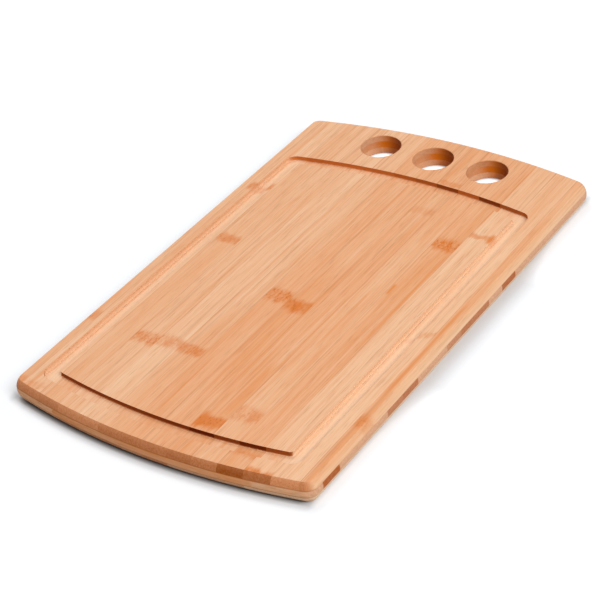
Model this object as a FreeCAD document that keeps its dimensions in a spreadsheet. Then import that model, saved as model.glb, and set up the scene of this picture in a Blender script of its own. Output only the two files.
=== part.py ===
import FreeCAD, Part
import Sketcher
import math
import os

# A bamboo cutting board glued up from three crossed layers of strips: the top and
# bottom layers run along the board and the core runs across it.  The glued panel is
# trimmed to a barrel outline, its edge is moulded to a bulging round, a juice groove
# is cut round the working face and three holes are bored in a row at the far end.
# Frame: origin under the middle of the board, X across, Y along towards the holes,
# Z up.  Lengths in millimetres, angles in degrees.

sizes = {
    "board_length": 380,
    "board_width": 231,
    "ply_thickness": 5,
    "end_radius": 520,
    "corner_radius": 8.5,
    "edge_half_angle": 45,
    "blank_allowance": 2,
    "cutter_overrun_share": 0.05,
    "edge_strip_width": 8.88,
    "whole_strip_count": 12,
    "core_first_width": 5.7,
    "core_last_width": 14.3,
    "core_whole_count": 20,
    "cut_shift": 1.8,
    "groove_width": 9.6,
    "groove_depth": 3.4,
    "groove_side_inset": 16,
    "groove_near_inset": 15.6,
    "groove_far_inset": 56.2,
    "groove_outer_corner": 8,
    "groove_inner_corner": 2.5,
    "groove_floor_round": 0.8,
    "hole_diameter": 30,
    "hole_pitch": 44.5,
    "hole_setback": 28.3,
    "hole_rim_round": 0.6,
}

doc = FreeCAD.newDocument("CuttingBoard")
sheet = doc.addObject("Spreadsheet::Sheet", "Sizes")
for row, (name, value) in enumerate(sizes.items(), start=1):
    sheet.set(f"A{row}", name)
    sheet.set(f"B{row}", str(value))
    sheet.setAlias(f"B{row}", name)
doc.recompute()

up = FreeCAD.Vector(0, 0, 1)
close_share = 1e-4
# A sketch's own numbers for its axes and for the points of a curve.
y_axis, origin = range(-2, 0)
start, end, centre = range(1, 4)

half_width = "Sizes.board_width / 2"
half_length = "Sizes.board_length / 2"
board_top = "3 * Sizes.ply_thickness"


def measure(expression):
    """The present value of an expression over the sheet."""
    return float(sheet.evalExpression(expression))


def line(x0, y0, x1, y1):
    """A straight sketch edge."""
    return Part.LineSegment(FreeCAD.Vector(x0, y0, 0), FreeCAD.Vector(x1, y1, 0))


def arc(x, y, radius, first, last):
    """A circular sketch edge between two angles in radians."""
    return Part.ArcOfCircle(Part.Circle(FreeCAD.Vector(x, y, 0), up, radius), first, last)


def plane_sketch(body, name, role):
    """A new sketch of the body on one of its own origin planes."""
    plane = [item for item in body.Origin.OriginFeatures if item.Role == role][0]
    sketch = body.newObject("Sketcher::SketchObject", name)
    sketch.AttachmentSupport = [(plane, "")]
    sketch.MapMode = "FlatFace"
    return sketch


def top_sketch(body, name):
    """A sketch on the working face, shifted with everything that is cut in that one setting."""
    sketch = plane_sketch(body, name, "XY_Plane")
    sketch.setExpression("AttachmentOffset.Base.x", "-Sizes.cut_shift")
    sketch.setExpression("AttachmentOffset.Base.z", board_top)
    return sketch


def relate(sketch, kind, *where):
    """Add a geometric constraint to a sketch."""
    sketch.addConstraint(Sketcher.Constraint(kind, *where))


def drive(sketch, kind, where, expression):
    """Add a dimension to a sketch and drive it from the sheet."""
    index = sketch.addConstraint(Sketcher.Constraint(kind, *where, measure(expression)))
    sketch.setExpression(f"Constraints[{index}]", expression)


def barrel_loop(sketch, half, near, far, end_radius, corner_radius):
    """A closed barrel outline: straight sides, bowed ends and rounded corners.

    All five are expressions: half the width, the reach of the near and far ends from
    the sketch origin, the radius of the bowed ends and that of the corners.
    """
    side = measure(half)
    bow = measure(end_radius)
    turn = measure(corner_radius)
    near_centre = bow - measure(near)
    far_centre = measure(far) - bow
    turn_x = side - turn
    rise = math.sqrt((bow - turn) ** 2 - turn_x ** 2)
    lean = math.atan2(rise, turn_x)
    far_turn = far_centre + rise
    near_turn = near_centre - rise
    half_circle = math.pi
    circle = 2 * math.pi
    first = sketch.GeometryCount
    sketch.addGeometry([
        line(side, near_turn, side, far_turn),
        arc(turn_x, far_turn, turn, 0, lean),
        arc(0, far_centre, bow, lean, half_circle - lean),
        arc(-turn_x, far_turn, turn, half_circle - lean, half_circle),
        line(-side, far_turn, -side, near_turn),
        arc(-turn_x, near_turn, turn, half_circle, half_circle + lean),
        arc(0, near_centre, bow, half_circle + lean, circle - lean),
        arc(turn_x, near_turn, turn, circle - lean, circle),
    ], False)
    ring = list(range(first, sketch.GeometryCount))
    right, far_right, far_end, far_left, left, near_left, near_end, near_right = ring
    for here, after in zip(ring, ring[1:] + ring[:1]):
        relate(sketch, "Tangent", here, end, after, start)
    for upright in (right, left):
        relate(sketch, "Vertical", upright)
    for corner in (far_left, near_left, near_right):
        relate(sketch, "Equal", far_right, corner)
    for bowed in (far_end, near_end):
        relate(sketch, "PointOnObject", bowed, centre, y_axis)
        drive(sketch, "Radius", (bowed,), end_radius)
    drive(sketch, "Radius", (far_right,), corner_radius)
    drive(sketch, "DistanceX", (origin, start, right, start), half)
    drive(sketch, "DistanceX", (left, start, origin, start), half)
    drive(sketch, "DistanceY", (origin, start, near_end, centre), f"{end_radius} - ({near})")
    drive(sketch, "DistanceY", (far_end, centre, origin, start), f"{end_radius} - ({far})")


form = doc.addObject("PartDesign::Body", "board_form")

# Rough blank, a little larger than the finished board all round.
blank_outline = plane_sketch(form, "blank_outline", "XY_Plane")
barrel_loop(
    blank_outline,
    half=f"{half_width} + Sizes.blank_allowance",
    near=f"{half_length} + Sizes.blank_allowance",
    far=f"{half_length} + Sizes.blank_allowance",
    end_radius="Sizes.end_radius + Sizes.blank_allowance",
    corner_radius="Sizes.corner_radius + Sizes.blank_allowance",
)
blank = form.newObject("PartDesign::Pad", "blank")
blank.Profile = blank_outline
blank.setExpression("Length", board_top)
doc.recompute()

# Moulded edge: a hollow cutter follows the finished outline and leaves a bulging round
# that meets the top and bottom faces at a crisp arris.
outline = plane_sketch(form, "outline", "XY_Plane")
barrel_loop(
    outline,
    half=half_width,
    near=half_length,
    far=half_length,
    end_radius="Sizes.end_radius",
    corner_radius="Sizes.corner_radius",
)
mid_height = "1.5 * Sizes.ply_thickness"
edge_radius = f"{mid_height} / sin(Sizes.edge_half_angle)"
overrun = f"Sizes.cutter_overrun_share * {board_top}"
cutter_back = f"{half_width} + 2 * Sizes.blank_allowance"
hollow_radius = measure(edge_radius)
hollow_x = measure(half_width) - hollow_radius
hollow_z = measure(mid_height)
over_z = measure(f"{board_top} + {overrun}")
under_z = -measure(overrun)
back_x = measure(cutter_back)
hollow_turn = math.asin((over_z - hollow_z) / hollow_radius)
lip_x = hollow_x + hollow_radius * math.cos(hollow_turn)
edge_cutter = plane_sketch(form, "edge_cutter", "XZ_Plane")
edge_cutter.addGeometry([
    arc(hollow_x, hollow_z, hollow_radius, -hollow_turn, hollow_turn),
    line(lip_x, over_z, back_x, over_z),
    line(back_x, over_z, back_x, under_z),
    line(back_x, under_z, lip_x, under_z),
], False)
hollow, over, back, under = range(4)
for here, after in ((hollow, over), (over, back), (back, under), (under, hollow)):
    relate(edge_cutter, "Coincident", here, end, after, start)
relate(edge_cutter, "Horizontal", over)
relate(edge_cutter, "Vertical", back)
relate(edge_cutter, "Horizontal", under)
drive(edge_cutter, "Radius", (hollow,), edge_radius)
drive(edge_cutter, "DistanceX", (origin, start, hollow, centre), f"{half_width} - {edge_radius}")
drive(edge_cutter, "DistanceY", (origin, start, hollow, centre), mid_height)
drive(edge_cutter, "DistanceY", (origin, start, over, start), f"{board_top} + {overrun}")
drive(edge_cutter, "DistanceY", (under, start, origin, start), overrun)
drive(edge_cutter, "DistanceX", (origin, start, back, start), cutter_back)
edge_round = form.newObject("PartDesign::SubtractivePipe", "edge_round")
edge_round.Profile = edge_cutter
edge_round.Spine = outline
edge_round.Mode = "Binormal"
edge_round.Binormal = up
doc.recompute()

# Juice groove: a flat-floored channel between two barrel loops, with its floor rounded
# into its walls.  Both its ends run parallel to the near end of the board, and the far
# one is set further in to clear the holes.
groove_half = f"{half_width} - Sizes.groove_side_inset"
groove_near = f"{half_length} - Sizes.groove_near_inset"
groove_far = f"{half_length} - Sizes.groove_far_inset"
groove_bow = "Sizes.end_radius - Sizes.groove_near_inset"
groove_loops = top_sketch(form, "groove_loops")
barrel_loop(
    groove_loops,
    half=groove_half,
    near=groove_near,
    far=groove_far,
    end_radius=groove_bow,
    corner_radius="Sizes.groove_outer_corner",
)
barrel_loop(
    groove_loops,
    half=f"{groove_half} - Sizes.groove_width",
    near=f"{groove_near} - Sizes.groove_width",
    far=f"{groove_far} - Sizes.groove_width",
    end_radius=f"{groove_bow} - Sizes.groove_width",
    corner_radius="Sizes.groove_inner_corner",
)
groove = form.newObject("PartDesign::Pocket", "groove")
groove.Profile = groove_loops
groove.setExpression("Length", "Sizes.groove_depth")
doc.recompute()

floor_level = measure(f"{board_top} - Sizes.groove_depth")
floor_gap = close_share * sizes["groove_depth"]
floor_edges = [
    f"Edge{number}"
    for number, edge in enumerate(groove.Shape.Edges, start=1)
    if all(abs(vertex.Z - floor_level) < floor_gap for vertex in edge.Vertexes)
]
floor_round = form.newObject("PartDesign::Fillet", "floor_round")
floor_round.Base = (groove, floor_edges)
floor_round.setExpression("Radius", "Sizes.groove_floor_round")
doc.recompute()

# Three holes in one straight row across the far end, with eased rims.
hole_radius = "Sizes.hole_diameter / 2"
hole_row = f"{half_length} - Sizes.hole_setback"
hole_circles = top_sketch(form, "hole_circles")
hole_circles.addGeometry([
    Part.Circle(
        FreeCAD.Vector(step * sizes["hole_pitch"], measure(hole_row), 0), up, measure(hole_radius)
    )
    for step in range(-1, 2)
], False)
left_hole, middle_hole, right_hole = range(3)
relate(hole_circles, "PointOnObject", middle_hole, centre, y_axis)
drive(hole_circles, "DistanceX", (left_hole, centre, middle_hole, centre), "Sizes.hole_pitch")
drive(hole_circles, "DistanceX", (middle_hole, centre, right_hole, centre), "Sizes.hole_pitch")
for hole in (left_hole, middle_hole, right_hole):
    drive(hole_circles, "DistanceY", (origin, start, hole, centre), hole_row)
    drive(hole_circles, "Radius", (hole,), hole_radius)
holes = form.newObject("PartDesign::Pocket", "holes")
holes.Profile = hole_circles
holes.Type = "ThroughAll"
doc.recompute()

rim_length = 2 * math.pi * measure(hole_radius)
rim_edges = [
    f"Edge{number}"
    for number, edge in enumerate(holes.Shape.Edges, start=1)
    if edge.isClosed() and abs(edge.Length - rim_length) < close_share * rim_length
]
rim_round = form.newObject("PartDesign::Fillet", "rim_round")
rim_round.Base = (holes, rim_edges)
rim_round.setExpression("Radius", "Sizes.hole_rim_round")
form.Tip = rim_round
doc.recompute()


def strip(label, low, high):
    """One glued strip: what its own slot holds of the board form.

    low and high are the expressions of the slot's corners.
    """
    slot = doc.addObject("Part::Box", f"{label}_slot")
    for axis, side, first, last in zip("xyz", ("Length", "Width", "Height"), low, high):
        slot.setExpression(f"Placement.Base.{axis}", first)
        slot.setExpression(side, f"({last}) - ({first})")
    piece = doc.addObject("Part::Common", label)
    piece.Label = label
    piece.Base = form
    piece.Tool = slot
    return piece


def spans(edges):
    """Neighbouring pairs of a row of edges, counted from one."""
    return enumerate(zip(edges, edges[1:]), start=1)


def severs(low, high, middle):
    """Whether a hole at this middle reaches past both edges of a strip."""
    reach = measure(hole_radius)
    return measure(middle) - reach < measure(low) and measure(high) < measure(middle) + reach


def lengths(label, first_end, cuts, last_end):
    """The label and ends of each length that the holes at these cuts leave of a strip."""
    return [
        (label if number == 1 else f"{label}_{number}", low, high)
        for number, (low, high) in spans([first_end, *cuts, last_end])
    ]


pieces = []
hole_middles = [f"{step} * Sizes.hole_pitch - Sizes.cut_shift" for step in range(-1, 2)]
left_edge, right_edge = "-Sizes.board_width", "Sizes.board_width"
near_end, far_end = "-Sizes.board_length", "Sizes.board_length"

# Long strips of the bottom and top layers, numbered from the left.  The panel is trimmed
# from a wider one, which leaves a part strip at each edge, and the whole strips share
# the rest of the width.
strip_width = "(Sizes.board_width - 2 * Sizes.edge_strip_width) / Sizes.whole_strip_count"
long_joints = [
    f"Sizes.edge_strip_width - {half_width} + {count} * {strip_width}"
    for count in range(sizes["whole_strip_count"] + 1)
]
long_layers = {
    "bottom": ("-Sizes.ply_thickness", "Sizes.ply_thickness"),
    "top": ("2 * Sizes.ply_thickness", "4 * Sizes.ply_thickness"),
}
for layer, (floor, ceiling) in long_layers.items():
    for number, (left, right) in spans([left_edge, *long_joints, right_edge]):
        cuts = [hole_row] if any(severs(left, right, middle) for middle in hole_middles) else []
        for label, near, far in lengths(f"{layer}_strip_{number:02d}", near_end, cuts, far_end):
            pieces.append(strip(label, (left, near, floor), (right, far, ceiling)))

# Short strips of the core, numbered from the near end, again with a part strip at each end.
# A strip that a hole cuts right through is left in lengths, here as in the other layers.
core_width = "(Sizes.board_length - Sizes.core_first_width - Sizes.core_last_width) / Sizes.core_whole_count"
core_joints = [
    f"Sizes.core_first_width - {half_length} + {count} * {core_width}"
    for count in range(sizes["core_whole_count"] + 1)
]
core_floor, core_ceiling = "Sizes.ply_thickness", "2 * Sizes.ply_thickness"
for number, (near, far) in spans([near_end, *core_joints, far_end]):
    cuts = hole_middles if severs(near, far, hole_row) else []
    for label, left, right in lengths(f"core_strip_{number:02d}", left_edge, cuts, right_edge):
        pieces.append(strip(label, (left, near, core_floor), (right, far, core_ceiling)))
doc.recompute()

for item in doc.Objects:
    if "Invalid" in item.State or "Error" in item.State:
        raise RuntimeError(f"{item.Label} did not compute")
for piece in pieces:
    if piece.Shape.isNull() or not piece.Shape.isValid() or len(piece.Shape.Solids) != 1:
        raise RuntimeError(f"{piece.Label} is not one sound solid")
os.makedirs("parts", exist_ok=True)
for piece in pieces:
    piece.Shape.exportStep(f"parts/{piece.Label}.step")
print(len(pieces), "strips,", round(sum(piece.Shape.Volume for piece in pieces)), "cubic millimetres")
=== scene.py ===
import bpy
import bmesh
import math
from mathutils import Matrix, Vector


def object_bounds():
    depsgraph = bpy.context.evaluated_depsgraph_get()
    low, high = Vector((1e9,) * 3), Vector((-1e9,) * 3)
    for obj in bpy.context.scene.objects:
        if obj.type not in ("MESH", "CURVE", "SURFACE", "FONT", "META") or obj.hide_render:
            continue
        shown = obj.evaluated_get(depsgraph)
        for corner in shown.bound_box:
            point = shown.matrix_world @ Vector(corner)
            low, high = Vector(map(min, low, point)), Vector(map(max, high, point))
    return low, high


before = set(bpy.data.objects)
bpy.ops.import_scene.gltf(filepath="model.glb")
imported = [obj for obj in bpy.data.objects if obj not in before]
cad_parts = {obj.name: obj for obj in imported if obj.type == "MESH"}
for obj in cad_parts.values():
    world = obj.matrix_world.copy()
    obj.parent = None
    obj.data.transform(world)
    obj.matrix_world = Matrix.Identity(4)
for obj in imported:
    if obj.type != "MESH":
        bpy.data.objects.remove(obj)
cad_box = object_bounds()

# Bottom layer: fourteen long strips, the face that lies on the table.
# Bamboo slats, split from the culm wall and planed, glued edge to edge with the fibre along the
# board, then glued under the core and sanded and oiled with the rest.
mm = 0.001
board_half_width, board_half_length, board_thickness = cad_box[1]
ply_thickness = board_thickness / 3
strip_count = 14
edge_strip_width = 8.88 * mm
strip_width = 2 * (board_half_width - edge_strip_width) / (strip_count - 2)

# The row of three holes, bored through every layer a little off the board's middle line.  The
# slack takes their eased rims in with the cut.
cut_axis = -1.8 * mm
rim_slack = 1 * mm
hole_pitch = 44.5 * mm
hole_radius = 15 * mm
hole_setback = 28.3 * mm
hole_row = board_half_length - hole_setback


def linear(colour):
    """The linear red, green, blue and alpha of an sRGB hex colour."""
    shares = [int(colour[at:at + 2], 16) / 255 for at in (0, 2, 4)]
    return [s / 12.92 if s <= 0.04045 else ((s + 0.055) / 1.055) ** 2.4 for s in shares] + [1.0]


def between(first, second, share):
    """A linear colour part of the way from one to another."""
    return [a + (b - a) * share for a, b in zip(first, second)]


def add(tree, kind, inputs, output=0, **settings):
    """Add a shader node, set and link its inputs, and return one of its live outputs."""
    node = tree.nodes.new(f"ShaderNode{kind}")
    for name, value in settings.items():
        setattr(node, name, value)
    for key, value in inputs.items():
        if isinstance(value, bpy.types.NodeSocket):
            tree.links.new(value, node.inputs[key])
        else:
            node.inputs[key].default_value = value
    live = [socket for socket in node.outputs if socket.enabled]
    return live[output] if isinstance(output, int) else node.outputs[output]


def off_from(tree, value, middle):
    """How far a place lies from a middle, to either side."""
    off = add(tree, "Math", {0: value, 1: middle}, operation="SUBTRACT")
    return add(tree, "Math", {0: off}, operation="ABSOLUTE")


# Colours of oiled bamboo: pale and deep fibre, fresh-cut wood, the brown cell bundles, the amber
# of a knuckle and the darker specks in one, brown and deep end grain and the glue lines, and the
# amber and brown of the painted shade on the holes' walls.
pale_face = linear("F6CBA4")
deep_face = linear("E2863A")
fresh_cut = linear("FCE4C4")
bundle_brown = linear("A8683A")
knuckle_amber = linear("DA7416")
knuckle_speck = linear("9C4A12")
brown_end = linear("B3581E")
deep_end = linear("A5500C")
glue_brown = linear("A85C22")
# Painted shade for the holes' walls: amber where it starts, brown on the side away from the light.
hole_shade_amber = linear("E07A1A")
hole_shade_brown = linear("A04C12")

# Width across the fibre and length along it, in mm, and the detail of each pattern in the wood.
# Cell bundles are 0.3 to 0.5 mm wide in the real culm and are drawn coarser, so that they show.
patterns = {
    "drift": (25, 130, 1.0),
    "broad": (4.5, 160, 2.0),
    "fine": (1.0, 50, 2.0),
    "dash": (0.6, 14, 1.0),
    "fray": (1.2, 12, 2.0),
    "bend": (5, 12, 1.0),
    "mottle": (1.1, 2.2, 2.0),
    "vein": (2.2, 110, 2.0),
    "lapse": (40, 60, 1.0),
}
noise_middle = 0.5
tone_swings = {"drift": 0.35, "broad": 0.5, "fine": 0.75}
bundle_shares = {"vein": 0.3, "dash": 0.35}
bundle_dot = 0.9 * mm
bundle_relief = 0.05 * mm


def grain(tree, place, fibre, seed):
    """One noise for each pattern in the wood, drawn out along the fibre."""
    drawn = {}
    for pattern, (width, length, detail) in patterns.items():
        scale = [1 / (width * mm)] * 3
        scale["XY".index(fibre)] = 1 / (length * mm)
        stretched = add(tree, "Mapping", {"Vector": place, "Scale": scale})
        drawn[pattern] = add(tree, "TexNoise", {"Vector": stretched, "W": seed, "Scale": 1.0,
                                                "Detail": detail}, noise_dimensions="4D")
    return drawn


def fibre_face(tree, fibres, depth):
    """The strip's own tone, drifting along it, in broad and fine streaks, with browner bundles."""
    tone = depth
    for pattern, swing in tone_swings.items():
        off = add(tree, "Math", {0: fibres[pattern], 1: noise_middle}, operation="SUBTRACT")
        tone = add(tree, "Math", {0: off, 1: swing, 2: tone}, operation="MULTIPLY_ADD")
    face = add(tree, "Mix", {0: tone, 6: pale_face, 7: deep_face}, data_type="RGBA")
    for pattern, share in bundle_shares.items():
        bundles = add(tree, "MapRange", {"Value": fibres[pattern], "From Min": 0.56, "From Max": 0.75,
                                         "To Max": share})
        face = add(tree, "Mix", {0: bundles, 6: face, 7: bundle_brown}, data_type="RGBA")
    return face


def streaked(tree, face, across, along, streaks):
    """Single streaks of deeper fibre, each fading out at its two ends."""
    for middle, start, stop, half_width, strength in streaks:
        off = off_from(tree, across, middle * mm)
        band = add(tree, "MapRange", {"Value": off, "From Min": half_width * mm, "From Max": 0.0,
                                      "To Max": strength}, interpolation_type="SMOOTHSTEP")
        off = off_from(tree, along, (start + stop) / 2 * mm)
        run = add(tree, "MapRange", {"Value": off, "From Min": (stop - start) / 2 * mm,
                                     "From Max": (stop - start) / 4 * mm}, interpolation_type="SMOOTHSTEP")
        band = add(tree, "Math", {0: band, 1: run}, operation="MULTIPLY")
        face = add(tree, "Mix", {0: band, 6: face, 7: deep_face}, data_type="RGBA")
    return face


fray_reach = 6 * mm
bend_reach = 8 * mm


def knuckled(tree, face, fibres, across, along, knuckles):
    """Amber bands right across the strip, frayed along the fibre and mottled with darker specks."""
    ragged = add(tree, "Math", {0: fibres["fray"], 1: fray_reach, 2: along}, operation="MULTIPLY_ADD")
    ragged = add(tree, "Math", {0: fibres["bend"], 1: bend_reach, 2: ragged}, operation="MULTIPLY_ADD")
    ragged = add(tree, "Math", {0: ragged, 1: noise_middle * (fray_reach + bend_reach)},
                 operation="SUBTRACT")
    blotch = add(tree, "Math", {0: fibres["mottle"], 1: fibres["bend"]}, operation="ADD")
    specks = add(tree, "MapRange", {"Value": fibres["mottle"], "From Min": 0.55, "From Max": 0.75,
                                    "To Max": 0.5})
    tint = add(tree, "Mix", {0: specks, 6: knuckle_amber, 7: knuckle_speck}, data_type="RGBA")
    for middle, half_length, strength, mottled, lean in knuckles:
        off = add(tree, "Math", {0: across, 1: -lean, 2: ragged}, operation="MULTIPLY_ADD")
        off = off_from(tree, off, middle * mm)
        band = add(tree, "MapRange", {"Value": off, "From Min": 1.4 * half_length * mm,
                                      "From Max": 0.4 * half_length * mm, "To Max": strength},
                   interpolation_type="SMOOTHSTEP")
        filled = add(tree, "MapRange", {"Value": blotch, "From Min": 0.8, "From Max": 1.15,
                                        "To Min": 1 - mottled})
        band = add(tree, "Math", {0: band, 1: filled}, operation="MULTIPLY")
        face = add(tree, "Mix", {0: band, 6: face, 7: tint}, data_type="RGBA")
    return face


# A glue joint on the face: stained fibre to each side and the brown line itself, each with its
# half width, the half width at full strength and that strength.
joint_lines = (
    (1.2 * mm, 0.2 * mm, 0.35, deep_face),
    (0.45 * mm, 0.1 * mm, 1.0, glue_brown),
)


def jointed(tree, face, fibres, across, level, joints):
    """Glue lines between strips on the sanded faces, lost in places."""
    pitch, first, darkness = joints
    gap = add(tree, "Math", {0: across, 1: first}, operation="SUBTRACT")
    gap = add(tree, "Math", {0: gap, 1: pitch / 2}, operation="PINGPONG")
    for half_width, solid, strength, colour in joint_lines:
        line = add(tree, "MapRange", {"Value": gap, "From Min": half_width, "From Max": solid})
        kept = add(tree, "MapRange", {"Value": fibres["lapse"], "From Min": 0.4, "From Max": 0.7,
                                      "To Max": strength * darkness})
        for factor in (kept, level):
            line = add(tree, "Math", {0: line, 1: factor}, operation="MULTIPLY")
        face = add(tree, "Mix", {0: line, 6: face, 7: colour}, data_type="RGBA")
    return face


def end_grain(tree, place, fibres, end):
    """A cut right across the fibre: patchy, and dotted with the cut ends of the bundles."""
    patch = add(tree, "MapRange", {"Value": fibres["mottle"], "From Min": 0.35, "From Max": 0.65})
    ends = add(tree, "Mix", {0: patch, 6: between(end, pale_face, 0.1), 7: between(end, deep_end, 0.15)},
               data_type="RGBA")
    dots = add(tree, "TexVoronoi", {"Vector": place, "Scale": 1 / bundle_dot}, output="Distance")
    dots = add(tree, "MapRange", {"Value": dots, "From Min": 0.45, "From Max": 0.15, "To Max": 0.55})
    return add(tree, "Mix", {0: dots, 6: ends, 7: between(end, deep_end, 0.6)}, data_type="RGBA")


def shaded_holes(tree, colour, facing_x, bore, wall, hole_shade):
    """Painted shade on the holes' walls: browner and darker on the side that faces away from the light."""
    turn, strength = hole_shade
    share = add(tree, "MapRange", {"Value": facing_x, "From Min": turn, "From Max": turn - 0.75,
                                   "To Max": strength}, interpolation_type="SMOOTHSTEP")
    for factor in (bore, wall):
        share = add(tree, "Math", {0: share, 1: factor}, operation="MULTIPLY")
    shaded_side = add(tree, "MapRange", {"Value": facing_x, "From Min": 0.3, "From Max": -0.5})
    tint = add(tree, "Mix", {0: shaded_side, 6: hole_shade_amber, 7: hole_shade_brown}, data_type="RGBA")
    return add(tree, "Mix", {0: share, 6: colour, 7: tint}, data_type="RGBA")


layer_line = 0.6 * mm
layer_line_solid = 0.1 * mm


def layered(tree, colour, z, facing_y, bore, wall):
    """Glue lines between the layers, darkest on the two ends of the board and faint in the holes."""
    off = off_from(tree, off_from(tree, z, board_thickness / 2), ply_thickness / 2)
    line = add(tree, "MapRange", {"Value": off, "From Min": layer_line, "From Max": layer_line_solid,
                                  "To Max": 0.75})
    ending = add(tree, "Math", {0: facing_y}, operation="ABSOLUTE")
    ending = add(tree, "MapRange", {"Value": ending, "To Min": 0.15})
    outside = add(tree, "MapRange", {"Value": bore, "To Min": 1.0, "To Max": 0.15})
    for factor in (ending, outside, wall):
        line = add(tree, "Math", {0: line, 1: factor}, operation="MULTIPLY")
    return add(tree, "Mix", {0: line, 6: colour, 7: glue_brown}, data_type="RGBA")


def bamboo(name, fibre, depth, end, seed, joints, fresh, hole_shade, knuckles=(), streaks=(), scorch_and_shade=None):
    """Oiled bamboo of one strip: straight-grained, pale to amber, satin on its face and dull in its cuts.

    fibre is the axis that it runs along, depth how deep the face colour is, end the colour of its
    cut ends and seed what makes its patterns its own.  joints is the width of the strips, the
    place of one joint and how dark it is.  fresh is how pale the upright sides are, hole_shade
    where the painted shade on the holes' walls starts and how dark it gets, and scorch_and_shade
    how browned the groove's ends are at the near and far end, partly burnt and partly painted shade.
    A knuckle is its place along the middle of the board, half length, strength, how mottled it is
    and its lean.  A streak is its place across, its two ends, half width and strength.
    """
    material = bpy.data.materials.new(name)
    material.use_nodes = True
    tree = material.node_tree
    shader = tree.nodes["Principled BSDF"]
    place = add(tree, "TexCoord", {}, output="Object")
    x, y, z = add(tree, "SeparateXYZ", {0: place}).node.outputs
    normal = add(tree, "NewGeometry", {}, output="Normal")
    facing_x, facing_y, facing_z = add(tree, "SeparateXYZ", {0: normal}).node.outputs
    across, along, crossing = (x, y, facing_y) if fibre == "Y" else (y, x, facing_x)
    level = add(tree, "Math", {0: facing_z}, operation="ABSOLUTE")
    wall = add(tree, "Math", {0: 1.0, 1: level}, operation="SUBTRACT")

    fibres = grain(tree, place, fibre, seed)
    face = fibre_face(tree, fibres, depth)
    face = streaked(tree, face, across, along, streaks)
    if knuckles:
        face = knuckled(tree, face, fibres, across, along, knuckles)
    face = jointed(tree, face, fibres, across, level, joints)

    # Paler fresh wood where an upright cut runs along the fibre and end grain where a cut crosses
    # it, both fainter in the holes.
    within = add(tree, "Math", {0: x, 1: cut_axis, 2: hole_pitch + hole_radius + rim_slack},
                 operation="COMPARE")
    inside = add(tree, "Math", {0: y, 1: hole_row, 2: hole_radius + rim_slack}, operation="COMPARE")
    bore = add(tree, "Math", {0: inside, 1: within}, operation="MULTIPLY")
    side = add(tree, "MapRange", {"Value": bore, "To Min": fresh, "To Max": 0.2 * fresh})
    side = add(tree, "Math", {0: wall, 1: side}, operation="MULTIPLY")
    face = add(tree, "Mix", {0: side, 6: face, 7: fresh_cut}, data_type="RGBA")
    cut = add(tree, "Math", {0: crossing}, operation="ABSOLUTE")
    cut = add(tree, "MapRange", {"Value": cut, "From Min": 0.2, "From Max": 0.9},
              interpolation_type="SMOOTHSTEP")
    shown = add(tree, "MapRange", {"Value": bore, "To Min": 1.0, "To Max": 0.35})
    cut = add(tree, "Math", {0: cut, 1: shown}, operation="MULTIPLY")
    ends = end_grain(tree, place, fibres, end)
    colour = add(tree, "Mix", {0: cut, 6: face, 7: ends}, data_type="RGBA")
    # Only the top layer is routed, and its section says how.
    if scorch_and_shade:
        colour = routed(tree, colour, x, y, z, wall, cut, scorch_and_shade)
    # Painted shade on the holes' walls, on the side that faces away from the light.
    colour = shaded_holes(tree, colour, facing_x, bore, wall, hole_shade)
    colour = layered(tree, colour, z, facing_y, bore, wall)

    # Satin on the sanded faces, dull on the cut walls, with the bundles just felt.
    rough = add(tree, "MapRange", {"Value": fibres["dash"], "From Min": 0.3, "From Max": 0.7,
                                   "To Min": 0.4, "To Max": 0.55})
    sheen = add(tree, "MapRange", {"Value": wall, "From Max": 0.5, "To Min": 0.3, "To Max": 0.03})
    relief = add(tree, "Bump", {"Height": fibres["dash"], "Strength": 0.25, "Distance": bundle_relief})
    tree.links.new(colour, shader.inputs["Base Color"])
    tree.links.new(rough, shader.inputs["Roughness"])
    tree.links.new(sheen, shader.inputs["Specular IOR Level"])
    tree.links.new(relief, shader.inputs["Normal"])
    shader.inputs["IOR"].default_value = 1.45
    return material


def dress(layer, number, material):
    """Give one strip's material to each of the lengths that the strip was cut into."""
    for name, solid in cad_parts.items():
        if name.startswith(f"{layer}_strip_{number:02d}"):
            for slot in solid.material_slots:
                slot.material = material


# Tones and knuckles of the bottom strips step round by uneven shares, so that no two neighbours
# are alike.
long_joints = (strip_width, 0, 0.6)
bottom_palest = 0.3
bottom_deepest = 0.7
tone_step_share = 0.37
knuckle_step_share = 0.29
knuckle_limit = 150
# The bottom strips' ends are browner in the middle of the board and palest at its corners; in the middle
# this is partly painted shade, where the near edge lies in shadow.
bottom_end_depths = (0.0, 0.5, 0.6, 0.7, 0.7, 0.75, 0.6, 0.75, 0.4, 0.4, 0.4, 0.05, 0.0, 0.0)
for number in range(1, strip_count + 1):
    depth = bottom_palest + (bottom_deepest - bottom_palest) * (number * tone_step_share % 1)
    knuckle = (knuckle_limit * (2 * (number * knuckle_step_share % 1) - 1), 6, 0.7, 0.5, 0)
    end = between(pale_face, brown_end, bottom_end_depths[number - 1])
    wood = bamboo(f"oiled_bamboo_bottom_{number:02d}", "Y", depth, end, 3.1 * number, long_joints,
                  fresh=0.9, hole_shade=(0.8, 0.7), knuckles=[knuckle])
    dress("bottom", number, wood)

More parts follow.
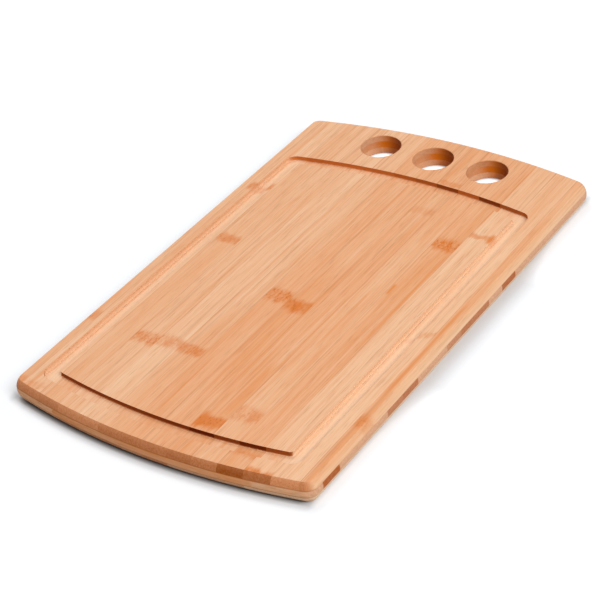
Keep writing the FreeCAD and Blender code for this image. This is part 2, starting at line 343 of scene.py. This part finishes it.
# Core layer: twenty-two short strips glued across the board, under the top.
# The same bamboo with its fibre along X, so the long edges show it as blocks of end grain, some
# pale and some brown, and the near edge shows it as a line of long grain.
core_count = 22
core_width = 18 * mm
core_first_width = 5.7 * mm
core_joints = (core_width, core_first_width - board_half_length, 0.1)
pale_core_end = linear("E6B08C")
core_depth = 0.6
core_depths = {1: 0.7, 2: 0.42}
core_end_depths = {3: 0.95, 7: 0.6, 8: 0.7, 11: 0.45, 12: 0.68, 13: 0.65, 15: 0.85}
for number in range(1, core_count + 1):
    depth = core_depths.get(number, core_depth)
    end = between(pale_core_end, brown_end, core_end_depths.get(number, 0.0))
    wood = bamboo(f"oiled_bamboo_core_{number:02d}", "X", depth, end, 100 + 5.3 * number, core_joints,
                  fresh=0.0, hole_shade=(1.1, 1.0))
    dress("core", number, wood)

# Top layer: fourteen long strips, the face that is cut on, with the groove routed in it.
# The same bamboo, picked for an even pale face.  Each strip keeps the tone, knuckles and streaks
# of the slat that it was planed from.  The groove's two ends are browned, partly scorched by the
# cutter and partly painted shade of the recess.
groove_width = 9.6 * mm
groove_side_inset = 16 * mm
groove_near_inset = 15.6 * mm
groove_far_inset = 56.2 * mm
groove_middle = (groove_near_inset - groove_far_inset) / 2
groove_half_width = board_half_width - groove_side_inset + rim_slack
groove_half_length = board_half_length - (groove_near_inset + groove_far_inset) / 2 + rim_slack
groove_lower = 2.4 * mm
groove_upper = 0.8 * mm
face_slack = 0.1 * mm
pale_end = linear("F3A26E")
# Browning of the groove's ends, from toast brown to the darkest: partly scorch by the cutter, partly
# painted shade of the recess.
toast_brown = linear("D67D3A")
scorch_and_shade_brown = linear("6C2000")


def routed(tree, colour, x, y, z, wall, cut, scorch_and_shade):
    """The groove: painted light low in its two sides, painted shade at their rims, and its ends browned,
    partly scorched and partly painted shade.
    """
    groove = add(tree, "Math", {0: z, 1: board_thickness - face_slack}, operation="LESS_THAN")
    within = add(tree, "Math", {0: x, 1: cut_axis, 2: groove_half_width}, operation="COMPARE")
    inside = add(tree, "Math", {0: y, 1: groove_middle, 2: groove_half_length}, operation="COMPARE")
    for factor in (inside, within):
        groove = add(tree, "Math", {0: groove, 1: factor}, operation="MULTIPLY")
    groove_side_light_and_shade = off_from(tree, x, cut_axis)
    groove_side_light_and_shade = add(tree, "MapRange", {"Value": groove_side_light_and_shade, "From Min": groove_half_width - 1.5 * groove_width,
                                   "From Max": groove_half_width - groove_width})
    groove_side_light_and_shade = add(tree, "Math", {0: groove, 1: groove_side_light_and_shade}, operation="MULTIPLY")
    # Painted light low in the groove's sides, where they lie in shade, and painted shade at their rims.
    for low, high, shade in ((0.3, 0.05, fresh_cut), (0.0, 0.15, deep_face)):
        share = add(tree, "MapRange", {"Value": z, "From Min": board_thickness - groove_lower,
                                       "From Max": board_thickness - groove_upper,
                                       "To Min": low, "To Max": high})
        share = add(tree, "Math", {0: share, 1: groove_side_light_and_shade}, operation="MULTIPLY")
        colour = add(tree, "Mix", {0: share, 6: colour, 7: shade}, data_type="RGBA")
    # The walls at the groove's two ends: partly scorched, partly painted shade in the recess.
    near, far = scorch_and_shade
    beyond = add(tree, "Math", {0: y, 1: groove_middle}, operation="GREATER_THAN")
    tint = add(tree, "Mix", {0: beyond, 6: between(toast_brown, scorch_and_shade_brown, near),
                             7: between(toast_brown, scorch_and_shade_brown, far)}, data_type="RGBA")
    share = wall
    for factor in (groove, cut):
        share = add(tree, "Math", {0: share, 1: factor}, operation="MULTIPLY")
    return add(tree, "Mix", {0: share, 6: colour, 7: tint}, data_type="RGBA")


top_depths = (0.42, 0.32, 0.42, 0.38, 0.28, 0.39, 0.54, 0.56, 0.56, 0.45, 0.54, 0.28, 0.27, 0.43)
top_end_depths = (0.35, 0.35, 0.45, 0.25, 0.25, 0.5, 0.55, 0.55, 0.65, 0.55, 1.0, 0.75, 0.25, 0.4)
# How browned the groove's ends are, near and far, on each top strip: partly scorch, partly painted shade.
near_scorch_and_shade = (0.6, 0.6, 0.6, 0.65, 0.65, 0.65, 0.7, 0.75, 0.95, 0.68, 0.9, 0.5, 0.5, 0.5)
far_scorch_and_shade = (0.0, 0.0, 0.05, 0.0, 0.0, 0.0, 0.15, 0.25, 0.6, 0.1, 0.7, 0.3, 0.25, 0.2)
top_knuckles = {
    1: [(-98, 5, 0.6, 0.5, 0), (-173, 5, 0.5, 0.5, 0)],
    2: [(109, 5, 0.7, 0.5, 0.3), (-175, 4, 0.4, 0.8, 0)],
    3: [(14, 5, 0.7, 0.4, 0)],
    4: [(-103, 6, 0.8, 0.75, 0)],
    5: [(-100, 6, 0.6, 0.75, 0)],
    6: [(-101, 5, 0.75, 0.5, 0)],
    7: [(-28, 7, 1.0, 0.65, 0)],
    8: [(-33, 7, 1.0, 0.35, 0)],
    9: [(-155, 6.5, 1.0, 0.2, 0), (99, 4, 0.3, 0.5, 0), (137, 3, 0.5, 0.5, 0)],
    10: [(-139, 7, 0.6, 0.75, 0)],
    11: [(69, 7, 1.0, 0.8, 0), (-168, 5, 0.6, 0.5, 0)],
    12: [(87, 3, 0.6, 0.4, 0), (-182, 5, 0.9, 0.4, 0)],
    13: [(-95, 2.5, 0.35, 0.5, 0.7)],
    14: [(-115, 7, 0.65, 0.45, 0)],
}
top_streaks = {
    1: [(-111, -260, -20, 16, 0.2)],
    2: [(-101, -260, 220, 2.2, 0.55)],
    3: [(-80, -280, 60, 16, 0.2)],
    6: [(-27, -260, -40, 16, 0.15)],
    7: [(-9.5, -170, -95, 1.5, 0.5), (-9, -260, 20, 16, 0.2)],
    8: [(0.8, -105, -35, 1.2, 0.6), (0.8, 35, 130, 1.0, 0.5), (17.3, -150, 80, 0.9, 0.45),
        (9, -140, 30, 16, 0.25)],
    9: [(31, -155, -85, 4, 0.5), (18.6, -150, 80, 1.0, 0.5), (34.7, -110, 10, 1.0, 0.6),
        (27, -260, -60, 16, 0.15)],
    10: [(44, -70, 10, 2, 0.4), (44, 58, 105, 2, 0.35)],
    11: [(69.5, -70, 70, 2, 0.5), (63.5, -80, 110, 1.5, 0.4), (55.3, 2, 17, 2, 0.9),
         (62, -20, 120, 16, 0.2)],
    12: [(71.7, 80, 195, 0.9, 0.8), (80, 90, 300, 16, 0.15), (87, 80, 94, 3.5, 0.8)],
    13: [(97, -120, 100, 1.5, 0.3), (98, 60, 320, 16, 0.25)],
    14: [(109, -100, 30, 2.5, 0.75), (110.5, -210, -60, 3, 0.4), (110, -10, 140, 12, 0.2)],
}
for number in range(1, strip_count + 1):
    at = number - 1
    end = between(pale_end, deep_end, top_end_depths[at])
    wood = bamboo(f"oiled_bamboo_top_{number:02d}", "Y", top_depths[at], end, 200 + 7.7 * number,
                  long_joints, fresh=0.4, hole_shade=(0.75, 0.9), knuckles=top_knuckles[number],
                  streaks=top_streaks.get(number, ()), scorch_and_shade=(near_scorch_and_shade[at], far_scorch_and_shade[at]))
    dress("top", number, wood)

# Floor: the plain white table that the board lies on.
# Matt white paint, lifted to white where the eye sees it away from the board and through the
# three holes, so that only the soft shadow at the board's foot is left on it.
floor_half = 4.0
floor_mesh = bpy.data.meshes.new("floor")
grid = bmesh.new()
bmesh.ops.create_grid(grid, x_segments=1, y_segments=1, size=floor_half)
grid.to_mesh(floor_mesh)
grid.free()
floor = bpy.data.objects.new("floor", floor_mesh)
bpy.context.scene.collection.objects.link(floor)
white = bpy.data.materials.new("matt_white_paint")
white.use_nodes = True
tree = white.node_tree
tree.nodes.clear()
spot = add(tree, "TexCoord", {}, output="Object")
spot_x, spot_y, _ = add(tree, "SeparateXYZ", {0: spot}).node.outputs

# The floor under the holes, taken as one hole that comes again along the row.
hole_lift = 0.8
row_x = add(tree, "Math", {0: spot_x, 1: cut_axis}, operation="SUBTRACT")
row_x = add(tree, "Math", {0: row_x, 1: hole_pitch / 2, 2: -hole_pitch / 2}, operation="WRAP")
row_y = add(tree, "Math", {0: spot_y, 1: hole_row}, operation="SUBTRACT")
through = add(tree, "CombineXYZ", {"X": row_x, "Y": row_y})
through = add(tree, "VectorMath", {0: through}, operation="LENGTH")
through = add(tree, "MapRange", {"Value": through, "From Min": hole_radius, "From Max": 0.8 * hole_radius,
                                 "To Max": hole_lift})
row = add(tree, "Math", {0: spot_x, 1: cut_axis, 2: 1.5 * hole_pitch}, operation="COMPARE")
through = add(tree, "Math", {0: through, 1: row}, operation="MULTIPLY")

# How far a spot lies past the bowed ends, and painted shadow: the table is painted greyer in the
# narrow gap under their round.  The painted shadow fades out towards the corners.
end_radius = 520 * mm
gap_inset = 3.5 * mm
painted_shadow_half = 5 * mm
painted_shadow_deepest_half = 1 * mm
painted_shadow_corner_start = 10 * mm
painted_shadow_corner_stop = 2 * mm
past_end = add(tree, "Math", {0: spot_x, 1: spot_x}, operation="MULTIPLY")
end_y = add(tree, "Math", {0: spot_y}, operation="ABSOLUTE")
past_end = add(tree, "Math", {0: past_end, 1: 0.5 / end_radius, 2: end_y}, operation="MULTIPLY_ADD")
past_end = add(tree, "Math", {0: past_end, 1: board_half_length}, operation="SUBTRACT")
gap = off_from(tree, past_end, -gap_inset)
gap = add(tree, "MapRange", {"Value": gap, "From Min": painted_shadow_half, "From Max": painted_shadow_deepest_half})
corner = add(tree, "Math", {0: spot_x}, operation="ABSOLUTE")
corner = add(tree, "MapRange", {"Value": corner, "From Min": board_half_width - painted_shadow_corner_stop,
                                "From Max": board_half_width - painted_shadow_corner_start})
gap = add(tree, "Math", {0: gap, 1: corner}, operation="MULTIPLY")
# Painted shadow: the paint turns grey in the gap under the two ends.
paint_and_painted_shadow = add(tree, "Mix", {0: gap, 6: linear("DEE2E6"), 7: linear("7C7E80")}, data_type="RGBA")

# How wide the shadow is: broad beside the middle of the right side, where it thins out towards
# the corners, and narrow at the ends and on the left side.
side_reach = 18 * mm
end_reach = 6 * mm
narrower = side_reach / end_reach
broad_middle = 10 * mm
broad_half = 60 * mm
corner_half = 120 * mm
corner_narrower = 4.0
corner_cleared = 14 * mm
past_end = add(tree, "Math", {0: past_end, 1: 0.0}, operation="MAXIMUM")
past_end = add(tree, "Math", {0: past_end, 1: narrower}, operation="MULTIPLY")
along_side = off_from(tree, spot_y, broad_middle)
thinner = add(tree, "MapRange", {"Value": along_side, "From Min": broad_half, "From Max": corner_half,
                                 "To Min": 1.0, "To Max": corner_narrower})
cleared = add(tree, "MapRange", {"Value": along_side, "From Min": broad_half, "From Max": corner_half,
                                 "To Max": corner_cleared})
past_right = add(tree, "Math", {0: spot_x, 1: board_half_width}, operation="SUBTRACT")
past_right = add(tree, "Math", {0: past_right, 1: thinner, 2: cleared}, operation="MULTIPLY_ADD")
past_left = add(tree, "Math", {0: spot_x, 1: board_half_width}, operation="ADD")
past_left = add(tree, "Math", {0: past_left, 1: -narrower}, operation="MULTIPLY")
past_side = add(tree, "Math", {0: past_left, 1: past_right}, operation="MAXIMUM")
past_side = add(tree, "Math", {0: past_side, 1: 0.0}, operation="MAXIMUM")
away = add(tree, "CombineXYZ", {"X": past_side, "Y": past_end})
away = add(tree, "VectorMath", {0: away}, operation="LENGTH")


def seen(tree):
    """1 where the eye looks, straight or by way of gloss or glass, and 0 for light on its way."""
    path = add(tree, "LightPath", {}).node.outputs
    rays = add(tree, "Math", {0: path["Is Camera Ray"], 1: path["Is Glossy Ray"]}, operation="MAXIMUM")
    return add(tree, "Math", {0: rays, 1: path["Is Transmission Ray"]}, operation="MAXIMUM")


# The lift to white, for the eye alone: it grows over the shadow, and on to the far floor.
far_floor = 2.0
foot_lift = 0.3
far_lift = 0.6
foot = add(tree, "MapRange", {"Value": away, "From Max": side_reach, "To Max": foot_lift})
open_floor = add(tree, "MapRange", {"Value": away, "From Max": far_floor, "To Max": far_lift})
lift = add(tree, "Math", {0: foot, 1: open_floor}, operation="ADD")
lift = add(tree, "Math", {0: through, 1: lift}, operation="MAXIMUM")
lift = add(tree, "Math", {0: lift, 1: seen(tree)}, operation="MULTIPLY")
matt = add(tree, "BsdfDiffuse", {"Color": paint_and_painted_shadow})
glow = add(tree, "Emission", {"Color": linear("FFFFFF"), "Strength": lift})
surface = add(tree, "AddShader", {0: matt, 1: glow})
tree.links.new(surface, tree.nodes.new("ShaderNodeOutputMaterial").inputs["Surface"])
floor_mesh.materials.append(white)

# Light: a room with a white ceiling and dim walls, seen as white, and one large softbox high over
# the right side.  A weaker one over the left side throws the soft shadow along the right edge.
wall_level = 0.05
ceiling_level = 0.55
softbox_side = 1.2
right_power = 40
left_power = 16
world = bpy.data.worlds.new("white_room")
world.use_nodes = True
tree = world.node_tree
way = add(tree, "TexCoord", {}, output="Generated")
height = add(tree, "SeparateXYZ", {0: way}, output="Z")
brightness = add(tree, "MapRange", {"Value": height, "To Min": wall_level, "To Max": ceiling_level})
brightness = add(tree, "Math", {0: brightness, 1: seen(tree)}, operation="MAXIMUM")
room = tree.nodes["Background"]
room.inputs["Color"].default_value = linear("FFFFFF")
tree.links.new(brightness, room.inputs["Strength"])
bpy.context.scene.world = world


def softbox(name, place, power):
    """A square lamp that faces the middle of the board."""
    lamp = bpy.data.lights.new(name, "AREA")
    lamp.shape = "SQUARE"
    lamp.size = softbox_side
    lamp.energy = power
    holder = bpy.data.objects.new(name, lamp)
    holder.location = place
    holder.rotation_euler = (-Vector(place)).to_track_quat("-Z", "Y").to_euler()
    bpy.context.scene.collection.objects.link(holder)


softbox("right_softbox", (1.82, -0.42, 1.82), right_power)
softbox("left_softbox", (-1.2, 0.9, 2.1), left_power)

# Camera: the place and lens of the photograph, from over the near right corner.
# It was held with a small roll, so upright lines lean a little in the picture.
azimuth = math.radians(38.224)
elevation = math.radians(35.266)
roll = math.radians(-7.863)
target = Vector((-6.369, -9.439, 0)) * mm
distance = 1228.152 * mm
focal_px = 1832.546
image_px = 600
sensor_width = 36
view_back = Vector((math.sin(azimuth) * math.cos(elevation), -math.cos(azimuth) * math.cos(elevation),
                    math.sin(elevation)))
view_level = Vector((math.cos(azimuth), math.sin(azimuth), 0))
view_rise = view_back.cross(view_level)
view_right = math.cos(roll) * view_level + math.sin(roll) * view_rise
view_up = math.cos(roll) * view_rise - math.sin(roll) * view_level
lens = bpy.data.cameras.new("camera")
lens.sensor_width = sensor_width
lens.lens = focal_px / image_px * sensor_width
camera = bpy.data.objects.new("camera", lens)
stand = Matrix((view_right, view_up, view_back)).transposed().to_4x4()
camera.matrix_world = Matrix.Translation(target + view_back * distance) @ stand
bpy.context.scene.collection.objects.link(camera)
bpy.context.scene.camera = camera
bpy.context.scene.view_settings.view_transform = "Standard"
